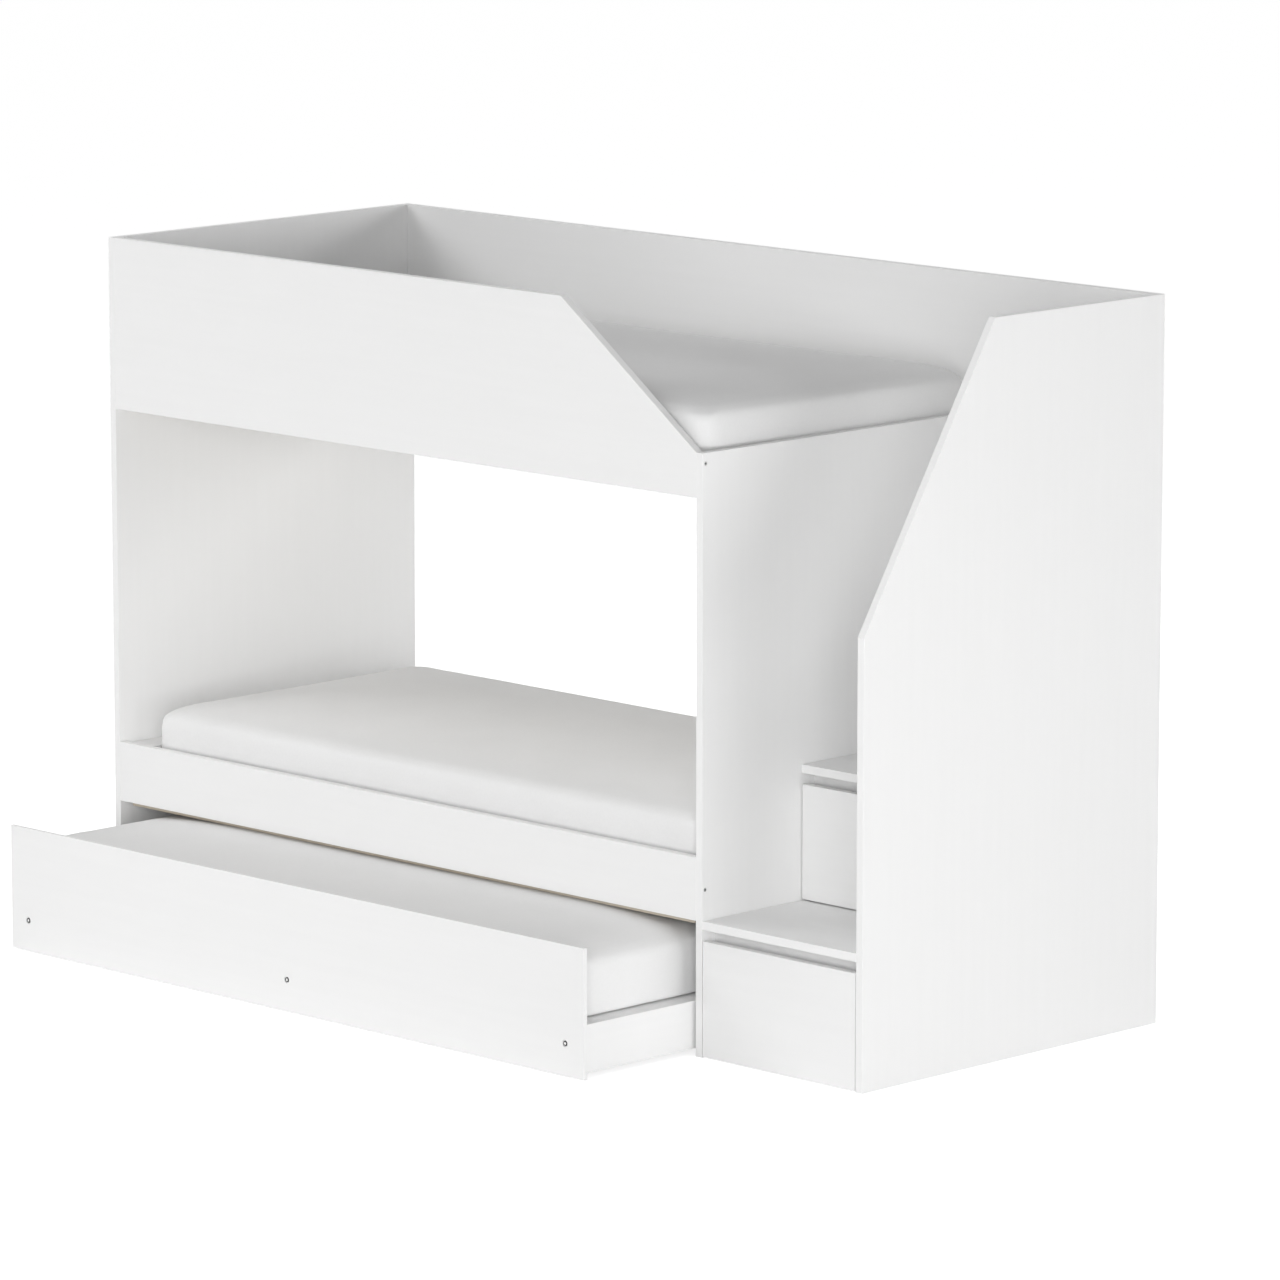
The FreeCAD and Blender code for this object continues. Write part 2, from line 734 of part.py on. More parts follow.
def save_stair():
    """Treads, back and drawers of the stair."""
    save("stair_back_panel", stair_back_panel())
    for number in range(1, STEP_COUNT + 1):
        left_side = drawer_left_side(number)
        channel = runner_channel(number)
        rail = runner_rail(number)
        drawer = f"drawer_{number}_"
        save(f"step_tread_{number}", step_tread(number))
        save(drawer + "channels", [channel, mirrored_in_stair(channel)])
        save(drawer + "front", drawer_front(number))
        save(drawer + "left_side", left_side)
        save(drawer + "right_side", mirrored_in_stair(left_side))
        save(drawer + "back", drawer_back(number))
        save(drawer + "bottom", drawer_bottom(number))
        save(drawer + "runners", [rail, mirrored_in_stair(rail)])


def save_trundle():
    """Front, box, slats and mattress of the trundle."""
    side = trundle_left_side()
    box_front = trundle_cross_board(TRUNDLE_FRONT_BACK, BOX_INNER_FRONT)
    save("trundle_front", trundle_front())
    save("trundle_front_bolts", trundle_front_bolts())
    save("trundle_box_front", drilled_for_bolts(box_front))
    save("trundle_box_back", trundle_cross_board(BOX_INNER_BACK, BOX_BACK))
    save("trundle_left_side", side)
    save("trundle_right_side", mirrored_in_bay(side))
    save("trundle_front_ledger", trundle_ledger(BOX_INNER_FRONT))
    save("trundle_back_ledger", trundle_ledger(BOX_INNER_BACK - TRUNDLE_LEDGER))
    save("trundle_slats", trundle_slats())
    save("trundle_glides", both_ends(trundle_glides()))
    save("trundle_mattress", trundle_mattress())


def save_casters():
    """Forks, axles and wheels below the trundle."""
    lines = caster_lines()
    save("caster_forks", both_ends([caster_fork(line) for line in lines.values()]))
    save("caster_axles", both_ends([caster_axle(line) for line in lines.values()]))
    for place, line in lines.items():
        wheel = caster_wheel(line)
        save(f"wheel_{place}_left", wheel)
        save(f"wheel_{place}_right", mirrored_in_bay(wheel))


def main():
    """Write every node of the bed."""
    os.makedirs("parts", exist_ok=True)
    save_carcass()
    save_bunks()
    save_stair()
    save_trundle()
    save_casters()


main()
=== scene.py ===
"""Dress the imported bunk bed: finishes, soft mattresses, small hardware, light and camera."""
import logging
import math
from collections.abc import Callable, Iterable, Sequence
from dataclasses import dataclass, field
from enum import Enum

import bmesh
import bpy
from mathutils import Matrix, Vector, noise


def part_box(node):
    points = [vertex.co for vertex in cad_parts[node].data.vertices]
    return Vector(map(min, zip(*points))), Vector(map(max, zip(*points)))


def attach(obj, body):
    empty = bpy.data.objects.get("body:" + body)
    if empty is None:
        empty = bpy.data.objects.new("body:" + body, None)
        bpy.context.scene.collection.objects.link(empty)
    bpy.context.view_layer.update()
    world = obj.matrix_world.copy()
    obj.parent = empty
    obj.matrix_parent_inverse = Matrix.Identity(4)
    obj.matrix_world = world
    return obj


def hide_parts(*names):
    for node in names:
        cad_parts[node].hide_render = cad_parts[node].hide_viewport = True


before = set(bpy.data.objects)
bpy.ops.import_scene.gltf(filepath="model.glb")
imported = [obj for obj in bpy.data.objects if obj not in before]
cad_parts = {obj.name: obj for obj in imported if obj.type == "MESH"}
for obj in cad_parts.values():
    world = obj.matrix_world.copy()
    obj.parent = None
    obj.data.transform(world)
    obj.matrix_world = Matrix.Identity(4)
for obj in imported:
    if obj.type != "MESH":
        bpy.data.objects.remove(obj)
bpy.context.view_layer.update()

LOG = logging.getLogger("bunk_bed")

Socket = bpy.types.NodeSocket
Colour = tuple[float, float, float]
Point = tuple[float, float, float]
Profile = Sequence[tuple[float, float]]

ORIGIN: Point = (0.0, 0.0, 0.0)
X_AXIS: Point = (1.0, 0.0, 0.0)
WHITE: Colour = (1.0, 1.0, 1.0)


class Grain(Enum):
    """Direction in which a board's or slat's grain runs."""

    ALONG_X = "x"
    ALONG_Y = "y"
    ALONG_Z = "z"


class Place(Enum):
    """Corner of the trundle that a caster stands at."""

    FRONT_LEFT = "front_left"
    FRONT_RIGHT = "front_right"
    BACK_LEFT = "back_left"
    BACK_RIGHT = "back_right"


# Node trees

class NodeSheet:
    """A node tree with short calls for adding and joining its nodes."""

    def __init__(self, tree: bpy.types.NodeTree) -> None:
        """Keep the tree that the calls work on."""
        self.tree = tree

    def feed(self, socket: Socket, value: object) -> None:
        """Join another socket to an input, or set its constant.

        Args:
            socket: The input to feed.
            value: Another node's output, or a number, vector or colour.
        """
        if isinstance(value, bpy.types.NodeSocket):
            self.tree.links.new(value, socket)
        else:
            socket.default_value = value

    def add(
        self, kind: str, inputs: dict[str | int, object] | None = None, **settings: object
    ) -> bpy.types.Node:
        """Add a node.

        Args:
            kind: Blender's type name of the node.
            inputs: Values or sockets for its inputs, by name or number.
            **settings: The node's own properties.

        Returns:
            The new node.
        """
        node = self.tree.nodes.new(kind)
        for name, value in settings.items():
            setattr(node, name, value)
        for key, value in (inputs or {}).items():
            self.feed(node.inputs[key], value)
        return node

    def math(self, operation: str, *values: object, clamp: bool = False) -> Socket:
        """Add a Math node.

        Args:
            operation: The sum to do.
            *values: Its inputs in order.
            clamp: Whether the result is held between 0 and 1.

        Returns:
            Its result.
        """
        node = self.add("ShaderNodeMath", operation=operation, use_clamp=clamp)
        for socket, value in zip(node.inputs, values):
            self.feed(socket, value)
        return node.outputs[0]

    def weigh(self, first: Socket, share: float, second: Socket, other_share: float) -> Socket:
        """Add two values, each times its own share.

        Args:
            first: One value.
            share: What it is multiplied by.
            second: The other value.
            other_share: What the other is multiplied by.

        Returns:
            The sum.
        """
        parts = (self.math("MULTIPLY", first, share), self.math("MULTIPLY", second, other_share))
        return self.math("ADD", *parts)

    def noise(
        self, vector: Socket, scale: float, detail: float = 2.0, roughness: float = 0.5
    ) -> Socket:
        """Add a noise texture.

        Args:
            vector: Where it is read.
            scale: Bumps per metre.
            detail: Number of finer layers.
            roughness: Weight of the finer layers.

        Returns:
            Its value, about 0.5 on average.
        """
        inputs = {"Vector": vector, "Scale": scale, "Detail": detail, "Roughness": roughness}
        return self.add("ShaderNodeTexNoise", inputs).outputs[0]

    def ramp(
        self, value: object, low: float, high: float, to_low: float = 0.0, to_high: float = 1.0
    ) -> Socket:
        """Map one range of values onto another and hold it there.

        Args:
            value: The value to map.
            low: Value that gives to_low.
            high: Value that gives to_high.
            to_low: Result at the low end.
            to_high: Result at the high end.

        Returns:
            The mapped value.
        """
        given = {"From Min": low, "From Max": high, "To Min": to_low, "To Max": to_high}
        return self.add("ShaderNodeMapRange", {"Value": value, **given}).outputs[0]

    def blend(self, share: object, first: object, second: object) -> Socket:
        """Mix two colours.

        Args:
            share: How much of the second there is.
            first: The colour at 0.
            second: The colour at 1.

        Returns:
            The mixed colour.
        """
        node = self.add("ShaderNodeMix", data_type="RGBA")
        colour_sockets = [s for s in node.inputs if s.type == "RGBA"]
        self.feed(node.inputs[0], share)
        self.feed(colour_sockets[0], first)
        self.feed(colour_sockets[1], second)
        return next(s for s in node.outputs if s.type == "RGBA")

    def object_point(self, scale: Point = (1.0, 1.0, 1.0)) -> Socket:
        """Point on the piece in the bed's frame.

        Args:
            scale: Stretch along each axis.

        Returns:
            The scaled point.
        """
        point = self.add("ShaderNodeTexCoord").outputs["Object"]
        return self.add("ShaderNodeMapping", {"Vector": point, "Scale": scale}).outputs[0]

    def group(self, tree: bpy.types.NodeTree, inputs: dict[str, object]) -> bpy.types.NodeOutputs:
        """Place a shared effect.

        Args:
            tree: The effect's node group.
            inputs: Values or sockets for its inputs.

        Returns:
            Its outputs, by name.
        """
        return self.add("ShaderNodeGroup", inputs, node_tree=tree).outputs


def as_rgba(colour: Colour) -> tuple[float, float, float, float]:
    """Return the colour with full alpha."""
    return (*colour, 1.0)


# Shared effects

class Effects:
    """Shader groups that several finishes share, each built once."""

    def __init__(self) -> None:
        """Start with no group built."""
        self.built: dict[str, bpy.types.NodeTree] = {}

    def _make(
        self,
        name: str,
        inputs: dict[str, str],
        outputs: dict[str, str],
        body: Callable[[NodeSheet, bpy.types.NodeOutputs], dict[str, Socket]],
    ) -> bpy.types.NodeTree:
        """Build a group the first time that it is asked for.

        Args:
            name: The effect's name.
            inputs: Kind of socket for each input.
            outputs: Kind of socket for each output.
            body: Builds the nodes and returns what each output is.

        Returns:
            The node group.
        """
        if name in self.built:
            return self.built[name]
        tree = bpy.data.node_groups.new(name, "ShaderNodeTree")
        for label, kind in inputs.items():
            tree.interface.new_socket(label, in_out="INPUT", socket_type=kind)
        for label, kind in outputs.items():
            tree.interface.new_socket(label, in_out="OUTPUT", socket_type=kind)
        sheet = NodeSheet(tree)
        entry = sheet.add("NodeGroupInput")
        leaving = sheet.add("NodeGroupOutput")
        for label, socket in body(sheet, entry.outputs).items():
            sheet.feed(leaving.inputs[label], socket)
        self.built[name] = tree
        return tree

    @property
    def grain(self) -> bpy.types.NodeTree:
        """Faint streaks and pores of an embossed board face."""

        def body(sheet: NodeSheet, entry: bpy.types.NodeOutputs) -> dict[str, Socket]:
            """Join long streaks with short pores."""
            streak = sheet.noise(entry["Vector"], scale=60.0, detail=4.0, roughness=0.62)
            pore = sheet.noise(entry["Vector"], scale=520.0)
            height = sheet.weigh(streak, 0.6, pore, 0.4)
            return {"Tone": sheet.ramp(streak, low=0.35, high=0.65), "Height": height}

        outputs = {"Tone": "NodeSocketFloat", "Height": "NodeSocketFloat"}
        return self._make("board_grain", {"Vector": "NodeSocketVector"}, outputs, body)

    @property
    def edge_wear(self) -> bpy.types.NodeTree:
        """Mask of rubbed arrises, broken up by noise."""

        def body(sheet: NodeSheet, entry: bpy.types.NodeOutputs) -> dict[str, Socket]:
            """Compare the rounded normal with the flat one."""
            radius = {"Radius": entry["Radius"]}
            rounded = sheet.add("ShaderNodeBevel", radius, samples=6).outputs[0]
            flat = sheet.add("ShaderNodeNewGeometry").outputs["True Normal"]
            both = {0: rounded, 1: flat}
            likeness = sheet.add("ShaderNodeVectorMath", both, operation="DOT_PRODUCT")
            edge = sheet.ramp(likeness.outputs["Value"], low=0.995, high=0.80)
            cloud = sheet.noise(entry["Vector"], scale=14.0, detail=3.0)
            patch = sheet.ramp(cloud, low=0.40, high=0.66)
            return {"Mask": sheet.math("MULTIPLY", edge, patch)}

        sockets = {"Vector": "NodeSocketVector", "Radius": "NodeSocketFloat"}
        return self._make("edge_wear", sockets, {"Mask": "NodeSocketFloat"}, body)

    @property
    def dust(self) -> bpy.types.NodeTree:
        """Mask of fine dust on what faces up."""

        def body(sheet: NodeSheet, entry: bpy.types.NodeOutputs) -> dict[str, Socket]:
            """Keep patches of noise on upward faces."""
            normal = sheet.add("ShaderNodeNewGeometry").outputs["Normal"]
            upward = sheet.add("ShaderNodeSeparateXYZ", {0: normal}).outputs["Z"]
            cloud = sheet.noise(entry["Vector"], scale=7.0, detail=5.0, roughness=0.6)
            patch = sheet.ramp(cloud, low=0.42, high=0.70)
            return {"Mask": sheet.math("MULTIPLY", sheet.ramp(upward, low=0.5, high=1.0), patch)}

        outputs = {"Mask": "NodeSocketFloat"}
        return self._make("settled_dust", {"Vector": "NodeSocketVector"}, outputs, body)

    @property
    def weave(self) -> bpy.types.NodeTree:
        """Over-and-under threads of plain cotton cloth, on whichever side faces out."""

        def body(sheet: NodeSheet, entry: bpy.types.NodeOutputs) -> dict[str, Socket]:
            """Cross the threads of the two directions that lie in the surface."""
            normal = sheet.add("ShaderNodeNewGeometry").outputs["Normal"]
            facing = sheet.add("ShaderNodeSeparateXYZ", {0: normal}).outputs
            parts = sheet.add("ShaderNodeSeparateXYZ", {0: entry["Vector"]}).outputs
            turns = sheet.math("DIVIDE", math.tau, entry["Thread"])
            wave = [sheet.math("SINE", sheet.math("MULTIPLY", part, turns)) for part in parts]
            total: Socket | None = None
            for side, (first, second) in enumerate(((1, 2), (0, 2), (0, 1))):
                crossing = sheet.math("MULTIPLY", wave[first], wave[second])
                weight = sheet.math("MULTIPLY", facing[side], facing[side])
                layer = sheet.math("MULTIPLY", crossing, weight)
                total = layer if total is None else sheet.math("ADD", total, layer)
            slub = sheet.noise(entry["Vector"], scale=180.0, detail=3.0, roughness=0.6)
            crossed = sheet.ramp(total, low=-1.0, high=1.0)
            height = sheet.math("ADD", crossed, sheet.math("MULTIPLY", slub, 0.8))
            return {"Height": height, "Tone": sheet.ramp(slub, low=0.35, high=0.65)}

        sockets = {"Vector": "NodeSocketVector", "Thread": "NodeSocketFloat"}
        outputs = {"Height": "NodeSocketFloat", "Tone": "NodeSocketFloat"}
        return self._make("plain_weave", sockets, outputs, body)

    @property
    def rings(self) -> bpy.types.NodeTree:
        """Growth rings and pores of planed softwood."""

        def body(sheet: NodeSheet, entry: bpy.types.NodeOutputs) -> dict[str, Socket]:
            """Bend bands with noise and add short pores."""
            bent = {"Distortion": 7.0, "Detail": 3.0, "Detail Scale": 1.2}
            inputs = {"Vector": entry["Vector"], "Scale": 9.0, **bent}
            kind = {"wave_type": "RINGS", "rings_direction": "SPHERICAL"}
            bands = sheet.add("ShaderNodeTexWave", inputs, **kind).outputs[1]
            pores = sheet.noise(entry["Vector"], scale=240.0, detail=3.0, roughness=0.6)
            tone = sheet.weigh(bands, 0.65, pores, 0.35)
            return {"Tone": tone, "Height": sheet.math("MULTIPLY", tone, 0.5)}

        outputs = {"Tone": "NodeSocketFloat", "Height": "NodeSocketFloat"}
        return self._make("pine_rings", {"Vector": "NodeSocketVector"}, outputs, body)


EFFECTS = Effects()


# Finishes

def new_material(name: str) -> tuple[bpy.types.Material, NodeSheet, bpy.types.Node]:
    """Start a material with an empty tree and a shader.

    Args:
        name: The material's name.

    Returns:
        The material, its sheet and its shader node.
    """
    material = bpy.data.materials.new(name)
    material.use_nodes = True
    material.node_tree.nodes.clear()
    sheet = NodeSheet(material.node_tree)
    shader = sheet.add("ShaderNodeBsdfPrincipled")
    sheet.add("ShaderNodeOutputMaterial", {"Surface": shader.outputs[0]})
    return material, sheet, shader


def add_bump(
    sheet: NodeSheet, shader: bpy.types.Node, height: Socket, strength: float, depth: float
) -> None:
    """Raise a shader's surface by a height.

    Args:
        sheet: The material's sheet.
        shader: Its shader node.
        height: The height, about 0 to 1.
        strength: How strongly it shows.
        depth: Its depth in metres.
    """
    inputs = {"Height": height, "Strength": strength, "Distance": depth}
    sheet.feed(shader.inputs["Normal"], sheet.add("ShaderNodeBump", inputs).outputs[0])


STRETCH = {
    Grain.ALONG_X: (0.045, 1.0, 1.0),
    Grain.ALONG_Y: (1.0, 0.045, 1.0),
    Grain.ALONG_Z: (1.0, 1.0, 0.045),
}


@dataclass(frozen=True)
class BoardFinish:
    """White laminate on board, faintly embossed with grain and a little rubbed at its edges."""

    name: str
    grain: Grain
    colour: Colour = (0.905, 0.905, 0.903)
    streak_colour: Colour = (0.897, 0.897, 0.895)
    worn_colour: Colour = (0.850, 0.848, 0.843)
    dust_colour: Colour = (0.870, 0.869, 0.865)
    edge_radius: float = 0.0016
    smooth: float = 0.40
    matt: float = 0.52
    dust_share: float = 0.25
    dust_matt: float = 0.15
    wear_share: float = 0.45
    gloss: float = 0.35
    emboss: float = 0.06
    emboss_depth: float = 0.0003

    def material(self) -> bpy.types.Material:
        """Build the finish's material."""
        material, sheet, shader = new_material(self.name)
        point = sheet.object_point()
        streaks = sheet.group(EFFECTS.grain, {"Vector": sheet.object_point(STRETCH[self.grain])})
        wear = sheet.group(EFFECTS.edge_wear, {"Vector": point, "Radius": self.edge_radius})["Mask"]
        dust = sheet.group(EFFECTS.dust, {"Vector": point})["Mask"]
        colour = sheet.blend(streaks["Tone"], as_rgba(self.colour), as_rgba(self.streak_colour))
        dusted = sheet.math("MULTIPLY", dust, self.dust_share)
        colour = sheet.blend(dusted, colour, as_rgba(self.dust_colour))
        rubbed = sheet.math("MULTIPLY", wear, self.wear_share)
        colour = sheet.blend(rubbed, colour, as_rgba(self.worn_colour))
        sheet.feed(shader.inputs["Base Color"], colour)
        rough = sheet.ramp(streaks["Height"], 0.3, 0.7, self.smooth, self.matt)
        dusty = sheet.math("MULTIPLY", dust, self.dust_matt)
        sheet.feed(shader.inputs["Roughness"], sheet.math("ADD", rough, dusty))
        shader.inputs["Specular IOR Level"].default_value = self.gloss
        add_bump(sheet, shader, streaks["Height"], self.emboss, self.emboss_depth)
        return material


@dataclass(frozen=True)
class PineFinish:
    """Planed, unfinished softwood with its rings and pores."""

    name: str
    grain: Grain
    early_wood: Colour = (0.620, 0.560, 0.470)
    late_wood: Colour = (0.480, 0.415, 0.330)
    worn_colour: Colour = (0.560, 0.500, 0.420)
    edge_radius: float = 0.002
    wear_share: float = 0.6
    early_rough: float = 0.72
    late_rough: float = 0.58
    gloss: float = 0.3
    relief: float = 0.35
    relief_depth: float = 0.0006

    def material(self) -> bpy.types.Material:
        """Build the finish's material."""
        material, sheet, shader = new_material(self.name)
        point = sheet.object_point()
        rings = sheet.group(EFFECTS.rings, {"Vector": sheet.object_point(STRETCH[self.grain])})
        wear = sheet.group(EFFECTS.edge_wear, {"Vector": point, "Radius": self.edge_radius})["Mask"]
        colour = sheet.blend(rings["Tone"], as_rgba(self.early_wood), as_rgba(self.late_wood))
        rubbed = sheet.math("MULTIPLY", wear, self.wear_share)
        colour = sheet.blend(rubbed, colour, as_rgba(self.worn_colour))
        sheet.feed(shader.inputs["Base Color"], colour)
        rough = sheet.ramp(rings["Tone"], 0.0, 1.0, self.early_rough, self.late_rough)
        sheet.feed(shader.inputs["Roughness"], rough)
        shader.inputs["Specular IOR Level"].default_value = self.gloss
        add_bump(sheet, shader, rings["Height"], self.relief, self.relief_depth)
        return material


@dataclass(frozen=True)
class ClothFinish:
    """White cotton mattress cover with a plain weave."""

    name: str
    colour: Colour = (0.893, 0.893, 0.892)
    shade_colour: Colour = (0.863, 0.863, 0.862)
    thread: float = 0.0016
    cloud_scale: float = 5.0
    even_rough: float = 0.82
    slub_rough: float = 0.92
    gloss: float = 0.2
    sheen: float = 0.10
    sheen_rough: float = 0.5
    relief: float = 0.35
    relief_depth: float = 0.0004

    def material(self) -> bpy.types.Material:
        """Build the finish's material."""
        material, sheet, shader = new_material(self.name)
        point = sheet.object_point()
        weave = sheet.group(EFFECTS.weave, {"Vector": point, "Thread": self.thread})
        cloud = sheet.ramp(sheet.noise(point, self.cloud_scale, detail=3.0), low=0.35, high=0.65)
        tone = sheet.weigh(weave["Tone"], 0.5, cloud, 0.5)
        colour = sheet.blend(tone, as_rgba(self.colour), as_rgba(self.shade_colour))
        sheet.feed(shader.inputs["Base Color"], colour)
        rough = sheet.ramp(weave["Tone"], 0.0, 1.0, self.even_rough, self.slub_rough)
        sheet.feed(shader.inputs["Roughness"], rough)
        shader.inputs["Specular IOR Level"].default_value = self.gloss
        shader.inputs["Sheen Weight"].default_value = self.sheen
        shader.inputs["Sheen Roughness"].default_value = self.sheen_rough
        add_bump(sheet, shader, weave["Height"], self.relief, self.relief_depth)
        return material


@dataclass(frozen=True)
class MetalFinish:
    """Zinc-plated steel with rolling marks and dulled edges."""

    name: str
    colour: Colour = (0.640, 0.640, 0.635)
    dull_colour: Colour = (0.450, 0.450, 0.445)
    metallic: float = 1.0
    smooth: float = 0.28
    rough: float = 0.48
    edge_radius: float = 0.0008
    rolled_stretch: Point = (8.0, 0.5, 8.0)
    relief: float = 0.12
    relief_depth: float = 0.0002

    def material(self) -> bpy.types.Material:
        """Build the finish's material."""
        material, sheet, shader = new_material(self.name)
        point = sheet.object_point()
        marks = sheet.group(EFFECTS.grain, {"Vector": sheet.object_point(self.rolled_stretch)})
        wear = sheet.group(EFFECTS.edge_wear, {"Vector": point, "Radius": self.edge_radius})["Mask"]
        colour = sheet.blend(marks["Tone"], as_rgba(self.colour), as_rgba(self.dull_colour))
        colour = sheet.blend(wear, colour, as_rgba(self.dull_colour))
        sheet.feed(shader.inputs["Base Color"], colour)
        rough = sheet.ramp(marks["Height"], 0.3, 0.7, self.smooth, self.rough)
        sheet.feed(shader.inputs["Roughness"], rough)
        shader.inputs["Metallic"].default_value = self.metallic
        add_bump(sheet, shader, marks["Height"], self.relief, self.relief_depth)
        return material


@dataclass(frozen=True)
class PlasticFinish:
    """Moulded plastic or rubber with a fine spark-eroded texture."""

    name: str
    colour: Colour
    scuff_colour: Colour
    roughness: float = 0.5
    scuff_rough: float = 0.15
    scuff_share: float = 0.5
    edge_radius: float = 0.0012
    spark_scale: float = 1400.0
    scuff_scale: float = 90.0
    relief: float = 0.15
    relief_depth: float = 0.0002

    def material(self) -> bpy.types.Material:
        """Build the finish's material."""
        material, sheet, shader = new_material(self.name)
        point = sheet.object_point()
        fine = sheet.noise(point, self.spark_scale)
        patches = sheet.noise(point, self.scuff_scale, detail=4.0, roughness=0.65)
        scuff = sheet.ramp(patches, low=0.50, high=0.72)
        wear = sheet.group(EFFECTS.edge_wear, {"Vector": point, "Radius": self.edge_radius})["Mask"]
        mask = sheet.math("MAXIMUM", wear, sheet.math("MULTIPLY", scuff, self.scuff_share))
        colour = sheet.blend(mask, as_rgba(self.colour), as_rgba(self.scuff_colour))
        sheet.feed(shader.inputs["Base Color"], colour)
        rough = sheet.ramp(scuff, 0.0, 1.0, self.roughness, self.roughness + self.scuff_rough)
        sheet.feed(shader.inputs["Roughness"], rough)
        add_bump(sheet, shader, fine, self.relief, self.relief_depth)
        return material


Finish = BoardFinish | PineFinish | ClothFinish | MetalFinish | PlasticFinish


class Wardrobe:
    """Every finish of the bed, with each material built once."""

    upright_board = BoardFinish("white_board_upright", Grain.ALONG_Z)
    long_board = BoardFinish("white_board_lengthwise", Grain.ALONG_X)
    cross_board = BoardFinish("white_board_crosswise", Grain.ALONG_Y)
    hardboard = BoardFinish(
        "white_hardboard", Grain.ALONG_Z, colour=(0.885, 0.885, 0.880), smooth=0.55, matt=0.68
    )
    long_pine = PineFinish("raw_pine_lengthwise", Grain.ALONG_X)
    slat_pine = PineFinish(
        "pale_pine_crosswise", Grain.ALONG_Y, (0.760, 0.735, 0.680), (0.690, 0.655, 0.595)
    )
    cotton = ClothFinish("white_cotton_cover")
    zinc = MetalFinish("zinc_plated_steel")
    # Brighter copy of the zinc steel: a painted highlight on the middle of each bolt head.
    painted_highlight_zinc = MetalFinish("painted_highlight_zinc", (0.830, 0.830, 0.825), (0.740, 0.740, 0.735))
    # Near-black copy of the zinc steel: painted shade in the screws' sockets and in the bolts'
    # recessed rings round their heads.
    painted_shade_steel = MetalFinish("steel_painted_shade", (0.075, 0.075, 0.077), (0.050, 0.050, 0.052))
    powder = MetalFinish(
        "white_powder_steel", (0.80, 0.80, 0.79), (0.74, 0.74, 0.73),
        metallic=0.0, smooth=0.42, rough=0.55,
    )
    nylon = PlasticFinish("natural_nylon", (0.80, 0.79, 0.76), (0.70, 0.69, 0.66))
    hub_plastic = PlasticFinish(
        "wheel_hub_plastic", (0.790, 0.790, 0.780), (0.700, 0.698, 0.690), roughness=0.42
    )
    tread_rubber = PlasticFinish(
        "wheel_tread_rubber", (0.700, 0.698, 0.690), (0.600, 0.596, 0.585), roughness=0.70
    )

    def __init__(self) -> None:
        """Start with no material built."""
        self.built: dict[str, bpy.types.Material] = {}

    def get(self, finish: Finish) -> bpy.types.Material:
        """Return the finish's material, built on first use."""
        if finish.name not in self.built:
            self.built[finish.name] = finish.material()
        return self.built[finish.name]


WARDROBE = Wardrobe()


def dress(node: str, finish: Finish) -> None:
    """Give a CAD node its finish.

    Args:
        node: The node's name.
        finish: What covers it.
    """
    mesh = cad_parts[node].data
    mesh.materials.clear()
    mesh.materials.append(WARDROBE.get(finish))
    LOG.info("dressed %s in %s", node, finish.name)


def dress_all(nodes: Iterable[str], finish: Finish) -> None:
    """Give several CAD nodes one finish."""
    for node in nodes:
        dress(node, finish)


# Mesh work

SPUN_WELD = 1e-7
CAD_WELD = 1e-5
FASTENER_CREASE = 30.0


def place_piece(name: str, work: bmesh.types.BMesh, finishes: Sequence[Finish]) -> bpy.types.Object:
    """Turn a finished bmesh into a smooth-shaded piece at the origin.

    Args:
        name: The piece's name.
        work: Its shape, which is used up.
        finishes: Its finishes, in the order of the faces' material numbers.

    Returns:
        The new piece.
    """
    for face in work.faces:
        face.smooth = True
    mesh = bpy.data.meshes.new(name)
    work.to_mesh(mesh)
    work.free()
    piece = bpy.data.objects.new(name, mesh)
    bpy.context.scene.collection.objects.link(piece)
    for finish in finishes:
        mesh.materials.append(WARDROBE.get(finish))
    LOG.info("built %s with %d faces", name, len(mesh.polygons))
    return piece


def seat_piece(piece: bpy.types.Object, body: str, slot: str, *nodes: str) -> None:
    """Ride a piece on its body, in place of CAD nodes.

    Args:
        piece: The piece to seat.
        body: The body that carries it.
        slot: The record's material slot; not used.
        *nodes: The CAD nodes that it stands for.
    """
    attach(piece, body)
    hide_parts(*nodes)


def spin_profile(work: bmesh.types.BMesh, profile: Profile, steps: int) -> None:
    """Spin a profile about the X axis into a closed shape.

    Args:
        work: The bmesh that takes the shape.
        profile: Points as distance along X and radius, from one end to the other.
        steps: Number of steps in the full turn.
    """
    points = [work.verts.new((along, 0.0, radius)) for along, radius in profile]
    edges = [work.edges.new(pair) for pair in zip(points, points[1:])]
    bmesh.ops.spin(
        work,
        geom=points + edges,
        cent=ORIGIN,
        axis=X_AXIS,
        angle=math.tau,
        steps=steps,
        use_merge=True,
    )
    bmesh.ops.remove_doubles(work, verts=work.verts, dist=SPUN_WELD)
    bmesh.ops.recalc_face_normals(work, faces=work.faces)


def turn_and_move(work: bmesh.types.BMesh, axis: Point, centre: Point) -> None:
    """Turn a whole shape from the X axis to another axis and put it in place.

    Args:
        work: The bmesh that holds the shape.
        axis: Direction that the X axis turns to.
        centre: Where the shape's origin goes.
    """
    turn = Vector(X_AXIS).rotation_difference(Vector(axis)).to_matrix().to_4x4()
    bmesh.ops.transform(work, matrix=Matrix.Translation(centre) @ turn, verts=list(work.verts))


